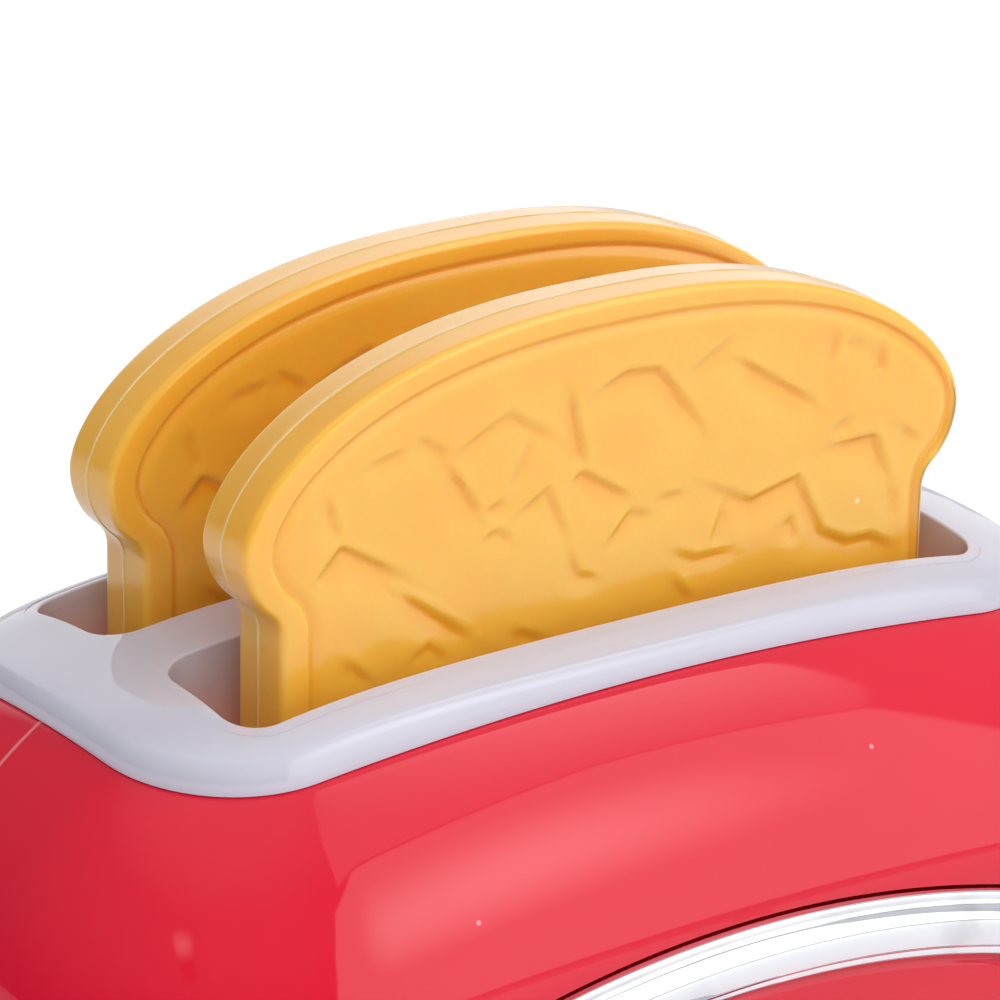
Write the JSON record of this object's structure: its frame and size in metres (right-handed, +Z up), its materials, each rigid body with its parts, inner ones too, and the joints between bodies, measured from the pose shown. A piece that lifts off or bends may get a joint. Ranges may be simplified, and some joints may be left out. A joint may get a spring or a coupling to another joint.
{
  "type": "toy toaster",
  "caption": "Toy pop-up toaster with a rounded red body, white slotted top, moulded slices, side lever and wind-up timer.",
  "frame": {"origin": "on the floor under the middle of the body, midway between the four feet", "axes": "+X along the bread slots towards the lever, +Y from the front ring to the back, +Z up"},
  "size_m": [0.183, 0.1105, 0.1532],
  "materials": {
    "red_plastic": "glossy moulded red",
    "white_plastic": "glossy moulded white",
    "inner_plastic": "natural white moulding",
    "base_plastic": "fine matt texture",
    "toast_plastic": "soft satin moulding",
    "chrome_plate": "plated, mirror bright",
    "foot_rubber": "matt",
    "steel": "plain",
    "spring_steel": "blued",
    "plate_steel": "yellow passivated",
    "gear_plastic": "natural acetal"
  },
  "bodies": {
    "housing": {"front_shell": "red_plastic", "back_shell": "red_plastic", "top_panel": "white_plastic", "base_plate": "base_plastic", "rubber_feet": "foot_rubber", "case_screws": "steel", "base_screws": "steel", "trim_ring": "chrome_plate", "front_panel": "red_plastic", "guide_rods": "steel", "lift_springs": "spring_steel", "mainspring": "spring_steel", "timer_front_plate": "plate_steel", "timer_back_plate": "plate_steel", "timer_pillars": "steel", "timer_screws": "steel", "latch_pin": "steel"},
    "carriage": {"carriage": "inner_plastic", "lever_handle": "white_plastic"},
    "front_slice": {"toast_front": "toast_plastic"},
    "back_slice": {"toast_back": "toast_plastic"},
    "timer_spindle": {"timer_knob": "white_plastic", "timer_shaft": "steel", "drive_gear": "gear_plastic", "snail_cam": "gear_plastic"},
    "second_wheel": {"second_gear": "gear_plastic"},
    "escapement_wheel": {"escape_wheel": "gear_plastic"},
    "pallet_lever": {"pallet": "steel"},
    "latch_crank": {"latch": "gear_plastic"}
  },
  "joints": [
    {"name": "lever_slide", "type": "slide", "parent": "housing", "child": "carriage", "axis": [0, 0, 1], "range_m": [-0.032, 0], "stiffness_N_per_m": 70, "springref_m": 0.035, "deforming": ["lift_springs"]},
    {"name": "front_slice_lift", "type": "slide", "parent": "carriage", "child": "front_slice", "axis": [0, 0, 1], "range_m": [0, 0.06]},
    {"name": "back_slice_lift", "type": "slide", "parent": "carriage", "child": "back_slice", "axis": [0, 0, 1], "range_m": [0, 0.06]},
    {"name": "timer_turn", "type": "hinge", "parent": "housing", "child": "timer_spindle", "pos_m": [0, -0.035, 0.0583], "axis": [0, 1, 0], "range_deg": [0, 300], "stiffness_Nm_per_rad": 0.01, "springref_deg": -57.3},
    {"name": "second_wheel_turn", "type": "hinge", "parent": "housing", "child": "second_wheel", "pos_m": [-0.01804, -0.035, 0.05173], "axis": [0, 1, 0], "range_deg": [-900, 0]},
    {"name": "escapement_turn", "type": "hinge", "parent": "housing", "child": "escapement_wheel", "pos_m": [-0.01431, -0.035, 0.03782], "axis": [0, 1, 0], "range_deg": [0, 2700]},
    {"name": "pallet_rock", "type": "hinge", "parent": "housing", "child": "pallet_lever", "pos_m": [-0.00257, -0.035, 0.0421], "axis": [0, 1, 0], "range_deg": [-5, 5]},
    {"name": "latch_swing", "type": "hinge", "parent": "housing", "child": "latch_crank", "pos_m": [0.03051, -0.035, 0.06163], "axis": [0, 1, 0], "range_deg": [0, 6.5]}
  ],
  "couplings": [
    {"joint": "second_wheel_turn", "follows": "timer_turn", "ratio": -3},
    {"joint": "escapement_turn", "follows": "timer_turn", "ratio": 9},
    {"joint": "latch_swing", "follows": "timer_turn", "ratio": 0.021672}
  ]
}
